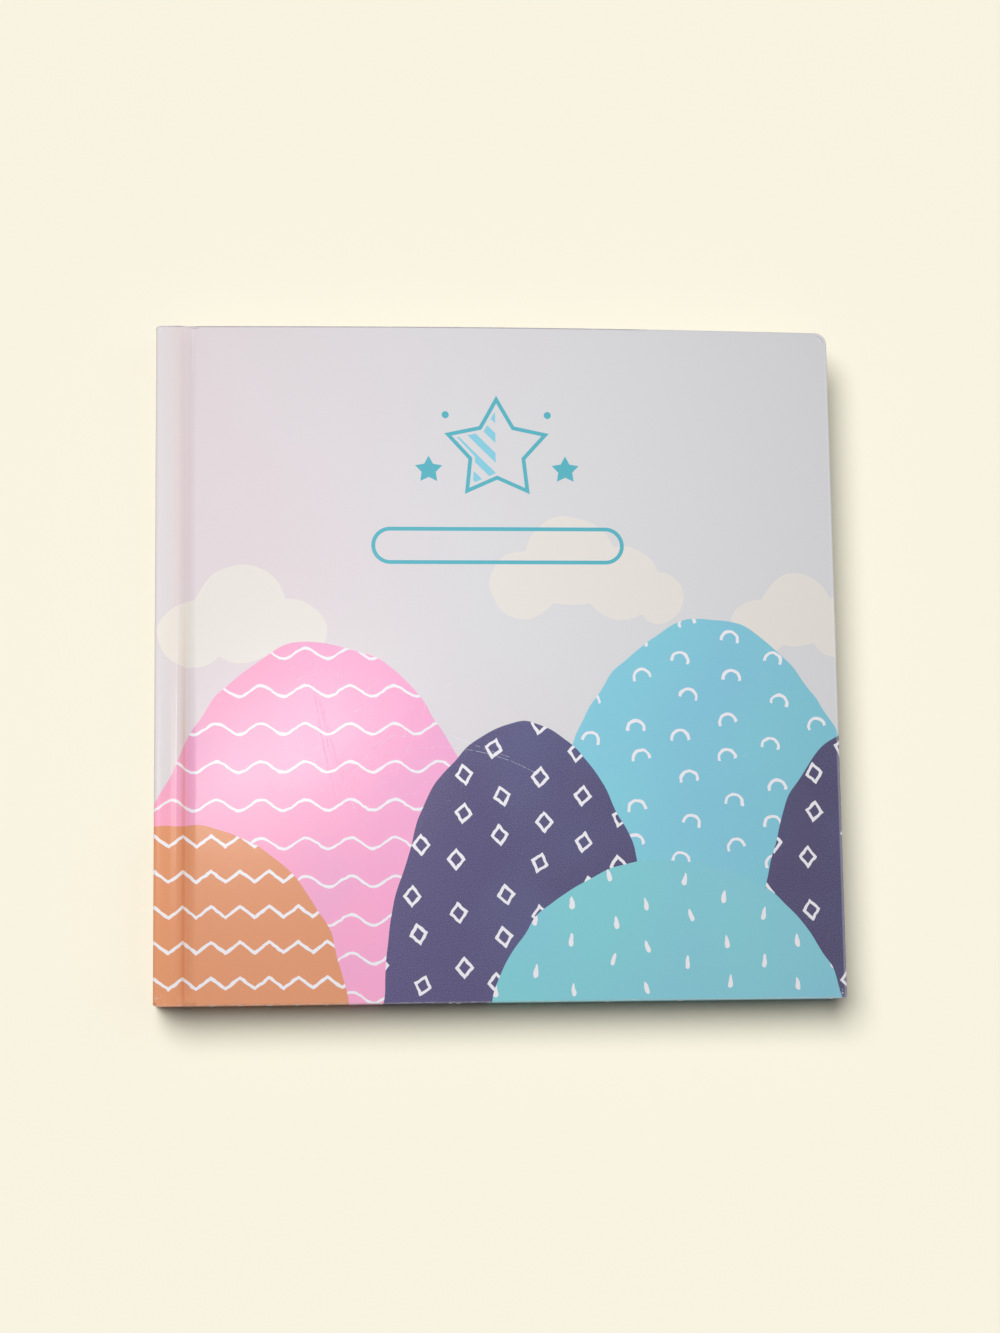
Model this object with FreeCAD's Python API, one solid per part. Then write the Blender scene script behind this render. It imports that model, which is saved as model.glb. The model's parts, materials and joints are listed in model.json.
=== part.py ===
import FreeCAD
import Part
import math
import os

# A square case-bound memory book, closed and lying on its back cover. Printed paper is folded round
# two cover boards and a spine board to make the case. The leaves hang in it by their endpapers and a
# strip of gauze, and a pressed groove beside the spine lets each cover turn. +X runs from the spine to
# the fore-edge, +Y from tail to head and +Z from the back cover to the front cover. The origin is the
# centre of the footprint, on the surface that the book lies on. Sizes are in millimetres.

# Leaves
leaf_width = 210.0            # spine edge to fore-edge
leaf_height = 210.0           # tail to head
page_stack = 11.1             # thickness of all the bound leaves together
endpaper = 0.2                # gauge of the endpaper sheets
rest_gap = 0.05               # air between a flyleaf and the pastedown that lies on it

# Case
cover_paper = 0.25            # printed and laminated sheet round the boards
board = 2.5                   # cover boards
spine_board = 2.5
joint_width = 8.9             # clear space between the spine board and a cover board
head_square = 3.0             # how far the case stands past the leaves at head and tail
fore_square = 4.0             # and at the fore-edge
turn_in = 15.0                # width of the covering paper folded to the inside
mitre_gap = 0.3               # slit where two turn-ins meet at a corner
edge_round = 0.6              # outside radius of the paper over a board's edge
corner_round = 0.8            # plan radius of a board's corners
worn_corner_round = 3.5       # the front board's head corner, knocked round by use

# Spine and grooves
shoulder_round = 1.0          # paper over the spine board's long edges
shoulder_width = 6.2          # from the spine's face to where the paper starts to dip
groove_floor = 0.6            # flat bottom of the groove, up to where the paper is parted
flex_clearance = 0.6          # open width between what stays with the spine and what turns
spine_end_round = 0.35        # paper over the spine's head and tail ends
hinge_inset = 5.2             # from the spine's face to the line that a cover turns about
hinge_lift = 0.15             # of that line off the case, so that an opened cover clears the spine

# Linings
mull = 0.25                   # gauge of the gauze that ties the leaves to the boards
mull_reach = 21.5             # how far the gauze runs onto each board
mull_margin = 1.0             # how far short of the turn-ins it stops
lining = 0.25                 # gauge of the kraft strip on the spine of the leaves
lining_margin = 3.0           # how far short of head and tail it stops
spine_air = 0.1               # hollow between the kraft strip and the spine's turn-ins
band_bead = 1.5               # diameter of the beaded edge of a head or tail band
band_tab = 8.0                # length of a band that is glued to the spine of the leaves
pan_slope = 0.8               # width over which a pastedown dips inside the turn-ins
pan_edge = 0.2                # and its start, inside their edges

# Places that follow
spine_inside = cover_paper + spine_board + cover_paper
block_offset = spine_inside + spine_air + lining + mull
case_width = block_offset + leaf_width + fore_square
case_height = leaf_height + 2 * head_square
cover_stack = cover_paper + board + cover_paper + endpaper
thickness = page_stack + 2 * (endpaper + rest_gap + cover_stack)

spine_x = -case_width / 2
fore_x = case_width / 2
head_y = case_height / 2
block_x = spine_x + block_offset
leaf_fore_x = block_x + leaf_width
leaf_head_y = leaf_height / 2
board_x = spine_x + cover_paper + spine_board + joint_width
cover_x = board_x - cover_paper
groove_end_x = cover_x - flex_clearance
mull_head_y = head_y - turn_in - mull_margin

stack_top = (thickness + page_stack) / 2
flyleaf_top = stack_top + endpaper
lining_top = flyleaf_top + rest_gap + endpaper
board_under = lining_top + cover_paper
board_top = board_under + board
gauze_top = lining_top + max(mull, cover_paper)
groove_outside = gauze_top + cover_paper
hinge_x = spine_x + hinge_inset

tiny = 1e-6
Vector = FreeCAD.Vector


def box(x0, x1, y0, y1, z0, z1):
    return Part.makeBox(x1 - x0, y1 - y0, z1 - z0, Vector(x0, y0, z0))


def back_to_front(shape):
    """The same piece at the other cover."""
    return shape.mirror(Vector(0, 0, thickness / 2), Vector(0, 0, 1))


def line(start, end):
    return Part.LineSegment(Vector(start[0], 0, start[1]), Vector(end[0], 0, end[1])).toShape()


def arc(centre, radius, start, end):
    """An arc in the XZ plane, with angles in degrees from +X towards +Z."""
    turns = [math.radians(angle) for angle in (start, (start + end) / 2, end)]
    points = [Vector(centre[0] + radius * math.cos(t), 0, centre[1] + radius * math.sin(t)) for t in turns]
    return Part.Arc(*points).toShape()


def walk_back(edges, across_middle=False):
    """A path run from its end to its start, and across the middle plane of the book if asked."""
    path = []
    for edge in reversed(edges):
        middle = edge.valueAt((edge.FirstParameter + edge.LastParameter) / 2)
        start, end = edge.Vertexes[-1].Point, edge.Vertexes[0].Point
        if across_middle:
            start, middle, end = [Vector(p.x, 0, thickness - p.z) for p in (start, middle, end)]
        straight = isinstance(edge.Curve, Part.Line)
        curve = Part.LineSegment(start, end) if straight else Part.Arc(start, middle, end)
        path.append(curve.toShape())
    return path


def pushed_out(edges, length):
    """A solid whose outline is these edges in order, with straight lines over any step between them."""
    outline = []
    for edge, following in zip(edges, edges[1:] + edges[:1]):
        outline.append(edge)
        start, end = edge.Vertexes[-1].Point, following.Vertexes[0].Point
        if start.distanceToPoint(end) > tiny:
            outline.append(Part.LineSegment(start, end).toShape())
    solid = Part.Face(Part.Wire(outline)).extrude(Vector(0, length, 0))
    solid.translate(Vector(0, -length / 2, 0))
    return solid


def groove_path(depth):
    """Outline of the front groove, this deep in the paper, from its cut end to the spine board."""
    top, bottom = thickness - depth, groove_outside - depth
    floor_x, shoulder_x = groove_end_x - groove_floor, spine_x + shoulder_width
    drop, run = thickness - groove_outside, floor_x - shoulder_x
    turn = 2 * math.atan2(drop, run)
    radius = run / (2 * math.sin(turn))
    swing = math.degrees(turn)
    return [
        line((groove_end_x, bottom), (floor_x, bottom)),
        arc((floor_x, groove_outside + radius), radius + depth, -90, -90 - swing),
        arc((shoulder_x, thickness - radius), radius - depth, 90 - swing, 90),
        line((shoulder_x, top), (spine_x + spine_inside, top)),
    ]


def case_path(depth):
    """Groove, shoulder and spine as one path, this deep in the paper, from groove to groove."""
    centre = (spine_x + shoulder_round, thickness - shoulder_round)
    half = groove_path(depth)
    half.append(line((spine_x + spine_inside, thickness - depth), (centre[0], thickness - depth)))
    half.append(arc(centre, shoulder_round - depth, 90, 180))
    return half + walk_back(half, across_middle=True)


def turned_in_path():
    """The inner face of the turned-in layer, under the grooves and down the inside of the spine board."""
    half = groove_path(2 * cover_paper)
    return half + walk_back(half, across_middle=True)


def make_spine_board():
    """A strip of board whose two outer long edges are pressed round."""
    x0 = spine_x + cover_paper
    solid = box(x0, x0 + spine_board, cover_paper - head_y, head_y - cover_paper,
                cover_paper, thickness - cover_paper)
    long_edges = [edge for edge in solid.Edges
                  if edge.BoundBox.XMax < x0 + tiny and edge.BoundBox.ZLength < tiny]
    return solid.makeFillet(shoulder_round - cover_paper, long_edges)


def make_spine_wrap(spine_board_solid):
    """The middle of the covering paper: spine, shoulders and grooves, folded in over head and tail.

    It is two layers thick as far as the turn-ins reach and one layer between them, and the paper keeps
    its gauge round every bend.
    """
    outside = case_path(0)
    folded = pushed_out(outside + walk_back(turned_in_path()), case_height)
    end_edges = []
    for edge in folded.Edges:
        middle = edge.valueAt((edge.FirstParameter + edge.LastParameter) / 2)
        in_section = Part.Vertex(middle.x, 0, middle.z)
        if edge.BoundBox.YLength < tiny and min(e.distToShape(in_section)[0] for e in outside) < tiny:
            end_edges.append(edge)
    folded = folded.makeFillet(spine_end_round, end_edges)
    between = pushed_out(case_path(cover_paper) + walk_back(turned_in_path()), case_height - 2 * turn_in)
    return folded.cut(between).cut(spine_board_solid)


def rounded_slab(x0, x1, y_half, z0, z1, plan_rounds, rim_round):
    """A slab with round fore corners, and round rims all over its top and on three sides below."""
    solid = box(x0, x1, -y_half, y_half, z0, z1)
    for end, radius in plan_rounds.items():
        uprights = [edge for edge in solid.Edges
                    if edge.BoundBox.XMin > x1 - tiny and edge.BoundBox.YLength < tiny
                    and edge.CenterOfMass.y * end > 0]
        solid = solid.makeFillet(radius, uprights)
    level = [edge for edge in solid.Edges if edge.BoundBox.ZLength < tiny]
    rims = [edge for edge in level if edge.BoundBox.ZMin > z1 - tiny or edge.BoundBox.XMax > x0 + tiny]
    return solid.makeFillet(rim_round, rims)


def make_board(head_round):
    """A cover board, with its plan radius at the head corner."""
    return rounded_slab(board_x, fore_x - cover_paper, head_y - cover_paper, board_under, board_top,
                        {1: head_round, -1: corner_round}, edge_round - cover_paper)


def make_wrap(board_solid, head_round):
    """Covering paper on one board, turned in on three sides, mitred, and open towards the hinge."""
    plan_rounds = {1: head_round + cover_paper, -1: corner_round + cover_paper}
    paper = rounded_slab(cover_x, fore_x, head_y, lining_top, board_top + cover_paper,
                         plan_rounds, edge_round)
    window = box(cover_x, fore_x - turn_in, turn_in - head_y, head_y - turn_in, lining_top, board_under)
    paper = paper.cut(board_solid).cut(window)
    for end, plan_round in plan_rounds.items():
        slit = box(0, turn_in * math.sqrt(2), -mitre_gap / 2, mitre_gap / 2, 0, cover_paper)
        slit.rotate(Vector(0, 0, 0), Vector(0, 0, 1), 180 + 45 * end)
        inset = plan_round * (1 - math.sqrt(0.5)) + edge_round
        slit.translate(Vector(fore_x - inset, end * (head_y - inset), lining_top))
        paper = paper.cut(slit)
    return paper


def make_mull_flap():
    """The end of the gauze, pressed level with the turn-ins between the board and the pastedown."""
    return box(cover_x, board_x + mull_reach, -mull_head_y, mull_head_y, lining_top, board_under)


def pan_outline(inset, z):
    """The bare part of the board's inside, this far in from the gauze and the turn-ins."""
    x0, x1 = board_x + mull_reach + inset, fore_x - turn_in - inset
    y_half = head_y - turn_in - inset
    corners = [(x0, -y_half), (x1, -y_half), (x1, y_half), (x0, y_half), (x0, -y_half)]
    return Part.makePolygon([Vector(x, y, z) for x, y in corners])


def make_pastedown():
    """The endpaper on the board, which lies on the turn-ins and the gauze and dips to the board between."""
    sheet_under = lining_top - endpaper
    sheet = box(cover_x, leaf_fore_x, -leaf_head_y, leaf_head_y, sheet_under, lining_top)
    pan = Part.Face(pan_outline(0, lining_top)).extrude(Vector(0, 0, cover_paper))
    hollow = Part.makeLoft([pan_outline(pan_edge, sheet_under),
                            pan_outline(pan_edge + pan_slope, board_under - endpaper)], True, True)
    return sheet.fuse(pan).removeSplitter().cut(hollow)


def make_flyleaf():
    """The free half of the endpaper, with its fold and the strip that runs on into the groove."""
    strip_under = lining_top - endpaper
    fold_z = (stack_top + lining_top) / 2
    outer_radius = (lining_top - stack_top) / 2
    fold_x = block_x + outer_radius
    return pushed_out([
        line((leaf_fore_x, stack_top), (fold_x, stack_top)),
        arc((fold_x, fold_z), outer_radius, 270, 90),
        line((fold_x, lining_top), (groove_end_x, lining_top)),
        line((groove_end_x, strip_under), (fold_x, strip_under)),
        arc((fold_x, fold_z), outer_radius - endpaper, 90, 270),
        line((fold_x, flyleaf_top), (leaf_fore_x, flyleaf_top)),
    ], leaf_height)


def make_mull():
    """Gauze on the spine of the leaves and over both shoulders, under the paper in the grooves."""
    outside = box(block_x - mull, groove_end_x, -mull_head_y, mull_head_y,
                  thickness - gauze_top, gauze_top)
    inside = box(block_x, groove_end_x, -mull_head_y, mull_head_y, thickness - lining_top, lining_top)
    return outside.cut(inside)


def make_lining():
    """Kraft strip glued over the gauze on the spine of the leaves."""
    x1, y_half = block_x - mull, leaf_head_y - lining_margin
    return box(x1 - lining, x1, -y_half, y_half, thickness - stack_top, stack_top)


def make_band(end):
    """A woven band: a flat tab on the spine of the leaves and a bead that sits on their edge."""
    tab_x, bead_y = block_x - mull, leaf_head_y + band_bead / 2
    base = thickness - stack_top
    tab = box(tab_x, block_x, leaf_head_y - band_tab, bead_y, base, stack_top)
    bead = Part.makeCylinder(band_bead / 2, page_stack, Vector(tab_x + band_bead / 2, bead_y, base))
    band = tab.fuse(bead).removeSplitter()
    return band if end > 0 else band.mirror(Vector(0, 0, 0), Vector(0, 1, 0))


def make_page_block():
    """All the leaves, trimmed square at head, tail and fore-edge."""
    return box(block_x, leaf_fore_x, -leaf_head_y, leaf_head_y, thickness - stack_top, stack_top)


def make_cover(head_round):
    """One cover's pieces, in the front cover's place."""
    board_solid = make_board(head_round)
    return {
        "board": board_solid,
        "wrap": make_wrap(board_solid, head_round),
        "mull_flap": make_mull_flap(),
        "pastedown": make_pastedown(),
    }


def make_book():
    pieces = {
        "page_block": make_page_block(),
        "spine_mull": make_mull(),
        "spine_lining": make_lining(),
        "head_band": make_band(1),
        "tail_band": make_band(-1),
        "front_flyleaf": make_flyleaf(),
        "back_flyleaf": back_to_front(make_flyleaf()),
        "spine_board": make_spine_board(),
    }
    pieces["spine_wrap"] = make_spine_wrap(pieces["spine_board"])
    for name, solid in make_cover(worn_corner_round).items():
        pieces["front_" + name] = solid
    for name, solid in make_cover(corner_round).items():
        pieces["back_" + name] = back_to_front(solid)
    return pieces


os.makedirs("parts", exist_ok=True)
for name, solid in make_book().items():
    solid.exportStep("parts/" + name + ".step")
    print(f"{name:16s} {solid.Volume / 1000:8.2f} cm3, {len(solid.Solids)} solid, valid {solid.isValid()}")
print(f"case {case_width:.2f} x {case_height:.2f} x {thickness:.2f} mm")
print(f"hinge lines at x {hinge_x:.2f}, z {thickness + hinge_lift:.2f} and {-hinge_lift:.2f} mm")
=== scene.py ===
import json
import math
import random

import bmesh
import bpy
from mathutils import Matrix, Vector, noise


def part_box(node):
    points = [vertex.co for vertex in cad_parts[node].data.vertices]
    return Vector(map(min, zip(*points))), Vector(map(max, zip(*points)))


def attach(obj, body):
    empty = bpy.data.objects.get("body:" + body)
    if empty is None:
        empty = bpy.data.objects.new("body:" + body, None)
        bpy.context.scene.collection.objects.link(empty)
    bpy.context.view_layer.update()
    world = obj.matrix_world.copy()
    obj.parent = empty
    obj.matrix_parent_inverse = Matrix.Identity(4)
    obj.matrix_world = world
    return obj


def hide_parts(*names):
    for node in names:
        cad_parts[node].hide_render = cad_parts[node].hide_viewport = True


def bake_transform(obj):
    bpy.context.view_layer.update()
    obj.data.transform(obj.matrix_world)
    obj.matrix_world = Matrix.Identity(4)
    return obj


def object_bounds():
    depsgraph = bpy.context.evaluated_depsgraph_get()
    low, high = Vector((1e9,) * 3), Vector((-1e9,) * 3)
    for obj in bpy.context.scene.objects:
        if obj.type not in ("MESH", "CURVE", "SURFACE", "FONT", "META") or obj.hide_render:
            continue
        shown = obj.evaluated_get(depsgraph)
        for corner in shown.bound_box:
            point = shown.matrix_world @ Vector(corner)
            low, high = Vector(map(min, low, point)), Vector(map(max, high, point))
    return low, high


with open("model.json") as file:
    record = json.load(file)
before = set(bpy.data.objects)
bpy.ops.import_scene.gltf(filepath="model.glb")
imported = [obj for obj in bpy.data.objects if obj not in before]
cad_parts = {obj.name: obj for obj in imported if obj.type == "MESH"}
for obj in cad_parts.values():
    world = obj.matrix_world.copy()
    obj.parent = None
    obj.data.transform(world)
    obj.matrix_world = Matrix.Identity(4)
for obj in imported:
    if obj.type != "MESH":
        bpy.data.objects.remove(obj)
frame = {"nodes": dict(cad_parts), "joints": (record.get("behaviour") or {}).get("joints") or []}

cadLow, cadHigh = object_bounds()
mm = 0.001
flatUnit = 100 * mm         # places on the flat sheets are kept in this unit

# Places in the closed book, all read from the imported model
leavesLow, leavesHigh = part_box("page_block")
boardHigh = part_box("front_board")[1]
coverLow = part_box("front_wrap")[0]
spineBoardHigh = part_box("spine_board")[1]
gauzeLow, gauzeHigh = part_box("spine_mull")
flapLow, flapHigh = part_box("front_mull_flap")
pastedownLow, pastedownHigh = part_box("front_pastedown")
spineX, foreX = cadLow.x, cadHigh.x
headY, top = cadHigh.y, cadHigh.z
paper = top - boardHigh.z
hinges = {joint["child"]: Vector(joint["pos_m"]) for joint in frame["joints"]}
creaseX = hinges["front_cover"].x
foldReach = 1.2 * mm        # the inner sheets are finely divided up to this far past a cover's hinge


def steps(start, end, count):
    return [start + (end - start) * i / count for i in range(count + 1)]


def eased(t):
    t = min(max(t, 0.0), 1.0)
    return t * t * (3 - 2 * t)


def rippled(x, y, seed, size):
    return noise.noise(Vector((x / size, y / size, seed)))


def lengthsAlong(points):
    lengths = [0.0]
    for before, after in zip(points, points[1:]):
        lengths.append(lengths[-1] + math.dist(before, after))
    return lengths


def ink(red, green, blue):
    # a colour named in 0-255, as the linear values that shaders take
    def linear(c):
        c = c / 255
        return c / 12.92 if c <= 0.04045 else ((c + 0.055) / 1.055) ** 2.4
    return (linear(red), linear(green), linear(blue), 1.0)


# Shader building: numbers are written as expressions, all else goes through add()

class Value:
    def __init__(self, surface, socket):
        self.surface = surface
        self.socket = socket

    def math(self, operation, *others, clamp=False):
        return self.surface.math(operation, self, *others, clamp=clamp)

    def __add__(self, other):
        return self.math("ADD", other)

    def __sub__(self, other):
        return self.math("SUBTRACT", other)

    def __mul__(self, other):
        return self.math("MULTIPLY", other)

    def __truediv__(self, other):
        return self.math("DIVIDE", other)

    def __rsub__(self, other):
        return self.surface.math("SUBTRACT", other, self)

    def __rtruediv__(self, other):
        return self.surface.math("DIVIDE", other, self)

    __radd__ = __add__
    __rmul__ = __mul__

    def __neg__(self):
        return self * -1.0

    def __abs__(self):
        return self.math("ABSOLUTE")

    def atMost(self, other):
        return self.math("MINIMUM", other)

    def atLeast(self, other):
        return self.math("MAXIMUM", other)

    def clamped(self):
        return self.math("ADD", 0.0, clamp=True)

    def cell(self, pitch):
        # place in a repeated cell, from minus half the pitch to plus half
        return self.math("WRAP", pitch / 2, -pitch / 2)

    def rows(self, pitch):
        # distance to the nearest of many even rows
        return self.math("PINGPONG", pitch / 2)


class Surface:
    # the nodes of one finish, or of the world
    def __init__(self, owner):
        self.material = bpy.data.materials.new(owner) if isinstance(owner, str) else owner
        self.material.use_nodes = True
        self.tree = self.material.node_tree
        self.tree.nodes.clear()

    def add(self, kind, settings=None, inputs=None):
        node = self.tree.nodes.new(kind)
        for key, value in (settings or {}).items():
            if key == "stops":
                for spare in range(len(value) - 2):
                    node.color_ramp.elements.new(0.5)
                for stop, (position, colour) in zip(node.color_ramp.elements, value):
                    stop.position = position
                    stop.color = colour
            else:
                setattr(node, key, value)
        for key, value in (inputs or {}).items():
            value = value.socket if isinstance(value, Value) else value
            if isinstance(value, bpy.types.NodeSocket):
                self.tree.links.new(value, node.inputs[key])
            else:
                node.inputs[key].default_value = value
        return node

    def math(self, operation, *values, clamp=False):
        settings = {"operation": operation, "use_clamp": clamp}
        return Value(self, self.add("ShaderNodeMath", settings, dict(enumerate(values))).outputs[0])

    def length(self, *parts):
        total = parts[0] * parts[0]
        for part in parts[1:]:
            total = total + part * part
        return total.math("SQRT")

    def vector(self, operation, a, b):
        return self.add("ShaderNodeVectorMath", {"operation": operation}, {0: a, 1: b}).outputs[0]

    def split(self, vector):
        parts = self.add("ShaderNodeSeparateXYZ", None, {0: vector}).outputs
        return [Value(self, part) for part in parts]

    def join(self, x, y, z=0.0):
        return self.add("ShaderNodeCombineXYZ", None, {0: x, 1: y, 2: z}).outputs[0]

    def mix(self, factor, under, over):
        inputs = {0: factor, 6: under, 7: over}
        return self.add("ShaderNodeMix", {"data_type": "RGBA"}, inputs).outputs[2]

    def noise(self, place, scale, detail=2.0, roughness=0.5, output=0):
        inputs = {"Vector": place, "Scale": scale, "Detail": detail, "Roughness": roughness}
        return Value(self, self.add("ShaderNodeTexNoise", None, inputs).outputs[output])

    def flatPlace(self):
        # place on a sheet before it is folded, in millimetres
        flat = self.add("ShaderNodeUVMap", {"uv_map": "flat"}).outputs[0]
        return self.vector("MULTIPLY", flat, (flatUnit / mm, flatUnit / mm, 0.0))

    def bodyPlace(self):
        # place in the book, in millimetres
        place = self.add("ShaderNodeTexCoord").outputs["Object"]
        return self.vector("MULTIPLY", place, (1000.0, 1000.0, 1000.0))

    def inside(self, distance, blur=0.12):
        # 1 where a distance to an outline is below zero
        return (0.5 - distance * (1 / blur)).clamped()

    def bump(self, height, distance, under=None):
        inputs = {"Strength": 1.0, "Distance": distance, "Height": height}
        if under is not None:
            inputs["Normal"] = under
        return self.add("ShaderNodeBump", None, inputs).outputs[0]

    def finished(self, colour, roughness, normal=None, specular=0.5):
        inputs = {"Base Color": colour, "Roughness": roughness, "Specular IOR Level": specular}
        if normal is not None:
            inputs["Normal"] = normal
        shader = self.add("ShaderNodeBsdfPrincipled", None, inputs)
        self.add("ShaderNodeOutputMaterial", None, {0: shader.outputs[0]})
        return self.material


# The outside of the case, from the middle of the spine to the flat of the front cover

sheet = {
    "spineRound": 0.75 * mm,        # over the spine board's long edges
    "spineRise": 0.2 * mm,          # the shoulder steps up this much
    "riseFrom": 1.9 * mm,           # between these distances from the spine face
    "riseTo": 5.4 * mm,
    "shoulder": 6.8 * mm,           # spine face to the crest, where the groove starts
    "grooveLeft": 3.2 * mm,         # run of the groove's two slopes
    "grooveRight": 2.8 * mm,
    "grooveDepth": 1.05 * mm,
    "grooveSoft": 0.35,             # 0 meets in a crease at the bottom, 1 is fully rounded
    "grooveEnd": 0.9,               # the turn-ins fill this share of the groove at head and tail
    "hingeReach": 1.0 * mm,         # finer folds this far each side of the line a cover turns about
    "spineCorner": 0.75 * mm,
    "rimRound": 0.6 * mm,
    "spineEndRound": 0.85 * mm,
    "turnIn": 15.0 * mm,
    "rimBand": 12.0 * mm,           # edge zone that has its own finer rings
    "cornerRound": 1.05 * mm,
    "knockedCorner": 3.75 * mm,     # head corner of the front cover
    "knockedDown": 0.12 * mm,
    "knockedReach": 11.0 * mm,
    "headBow": 0.8 * mm,            # the front cover's head edge swells this much in its middle
    "headBowReach": 34.0 * mm,
    "ripple": 0.025 * mm,           # unevenness of the glued paper
    "rippleSize": 34.0 * mm,
    "rippleFrom": 14.0 * mm,        # it grows over this distance from the groove
    "acrossCount": 60,
    "upCount": 60,
}
shoulderX = spineX + sheet["shoulder"]
riseEndX = spineX + sheet["riseTo"]
bottomX = shoulderX + sheet["grooveLeft"]
flatX = bottomX + sheet["grooveRight"]


def grooveDrop(t):
    # from 0 at a rim of the groove to 1 at its bottom
    t = min(max(t, 0.0), 1.0)
    rounded, creased = (1 - math.cos(math.pi * t)) / 2, 1 - math.cos(math.pi * t / 2)
    return creased + (rounded - creased) * sheet["grooveSoft"]


def caseHeight(x):
    if x <= shoulderX:
        risen = eased((x - spineX - sheet["riseFrom"]) / (sheet["riseTo"] - sheet["riseFrom"]))
        return top - sheet["spineRise"] * (1 - risen)
    if x < bottomX:
        return top - sheet["grooveDepth"] * grooveDrop((x - shoulderX) / sheet["grooveLeft"])
    return top - sheet["grooveDepth"] * grooveDrop((flatX - x) / sheet["grooveRight"])


def casePath():
    # pairs of a point on the outside and the point that the turned-in edge reaches under it
    insideX, insideZ = spineBoardHigh.x + paper, top - 2 * paper
    r = sheet["spineRound"]
    edgeZ = top - sheet["spineRise"]
    path = [((spineX, z), (insideX, min(z, insideZ))) for z in steps(top / 2, edgeZ - r, 8)[:-1]]
    for turn in steps(math.pi, math.pi / 2, 6)[:-1]:
        outside = (spineX + r + r * math.cos(turn), edgeZ - r + r * math.sin(turn))
        path.append((outside, (insideX, insideZ)))
    fold = sheet["hingeReach"]
    xs = steps(spineX + r, creaseX - fold, 9)[:-1] + steps(creaseX - fold, creaseX + fold, 20)[:-1]
    xs += steps(creaseX + fold, bottomX, 14)[:-1] + steps(bottomX, flatX, 12) + [flatX + 0.5 * mm]
    tiny = 1e-6
    for x in xs:
        z = caseHeight(x)
        slope = (caseHeight(x + tiny) - caseHeight(x - tiny)) / (2 * tiny)
        steep = math.hypot(1, slope)
        under = (x + 2 * paper * slope / steep, z - 2 * paper / steep)
        if x >= bottomX:
            under = (x, coverLow.z)
        path.append(((x, z), (max(under[0], insideX), max(min(under[1], insideZ), coverLow.z))))
    return path


wrapPath = casePath()
pathLengths = lengthsAlong([outside for outside, _ in wrapPath])
coverStartX = wrapPath[-1][0][0]
# on the unfolded sheet the front cover keeps its own x, and the middle of the spine comes here
spineMiddle = coverStartX - pathLengths[-1]
# places on the unfolded sheet in millimetres, as the shaders have them
middleFlat, foreFlat, headFlat = spineMiddle / mm, foreX / mm, headY / mm
riseFlat, shoulderFlat, coverStartFlat = riseEndX / mm, shoulderX / mm, coverStartX / mm
grooveFlat = coverStartFlat - sheet["grooveRight"] / mm - 0.8       # the groove's bottom
ridgeHighlightFlat = coverStartFlat - 1.7       # painted highlight: a pale streak near the board's edge over the turn-in at the head, standing for the light on that ridge

coverPrint = {
    # painted light: the sky on the flat strip by the spine, bluer than beside it, as the bluish light
    # that strip reflects
    "skySpine": ink(219.5, 213, 218),
    "sky": (ink(222, 212, 214), ink(219, 217, 220), ink(217, 215, 218)),    # from the spine outwards
    "skyBlush": ink(228, 207, 215),         # pink that drifts over the sky near the spine
    "cream": ink(231, 224, 218),
    "white": ink(240, 236, 242),
    "blue": (ink(128, 208, 224), ink(119, 193, 210)),       # a hill shades from the first to the second
    "pink": (ink(248, 162, 192), ink(247, 165, 212)),
    # the navies darken towards the fore edge, and the far hill's deep navy more: partly print and partly
    # painted shade where the light falls off
    "navy": (ink(75, 67, 120), ink(66, 59, 108)),
    "deepNavy": (ink(62, 53, 103), ink(54, 46, 92)),
    "orange": (ink(225, 146, 98), ink(223, 145, 101)),
    "aqua": (ink(122, 204, 210), ink(128, 200, 214)),
    "teal": ink(72, 176, 192),
    "paleTeal": ink(130, 204, 224),
    "driftColour": ink(128, 170, 226),
    # uneven ink: how far each hill's colour strays towards that blue
    "drift": {"blue": 0.22, "pink": 0.22, "aqua": 0.22, "navy": 0.09, "deepNavy": 0.09, "orange": 0.0},
    "spinePaintedLight": (1.07, 1.06, 1.02),       # painted light and shade: how the colours change on the flat strip by the spine, painted lighter, on its far side, painted warmer as sheen, in the grooves, painted darker as shade, and in their sharp side towards the tail, painted darker as shade
    "shoulderPaintedSheen": (1.005, 0.98, 0.955),  # on its far side,
    "groovePaintedShade": (0.925, 0.918, 0.90),   # in the grooves
    "creasePaintedShade": (0.92, 0.80, 0.68),      # and in their sharp side towards the tail
    "handWobble": 2.2,              # mm that a hill's outline strays, and how often per mm
    "handScale": 0.055,
    "markWobble": 0.275,            # the same for a hill's marks
    "markScale": 0.6,
    "line": 1.25,                   # mm, the emblem's stroke
    "mark": 0.95,                   # mm, a hill mark's stroke
    "roughness": 0.14,              # of the laminated film
    "filmHeight": 0.009 * mm,
    "filmVeil": ink(250, 246, 250),         # the film's grain is a little paler than the ink under it
}
# cloud puffs: across, up and radius in mm
cloudPuffs = [
    (-97, 8, 11), (-82, 15, 15), (-66, 9, 11),
    (8, 24, 11), (23, 32, 15), (39, 25, 12), (52, 20, 8),
    (84, 10, 9), (96, 16, 12), (110, 11, 10),
]
# hills from back to front: across, up at the foot, half width, height, colour, marks
hills = [
    (66, -118, 60, 131, "blue", "arches"),
    (-58, -118, 62, 124, "pink", "waves"),
    (118, -118, 40, 96, "deepNavy", "diamonds"),
    (6, -118, 44, 98, "navy", "diamonds"),
    (-100, -118, 52, 66, "orange", "zigzags"),
    (52, -118, 56, 54, "aqua", "drops"),
]


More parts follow.
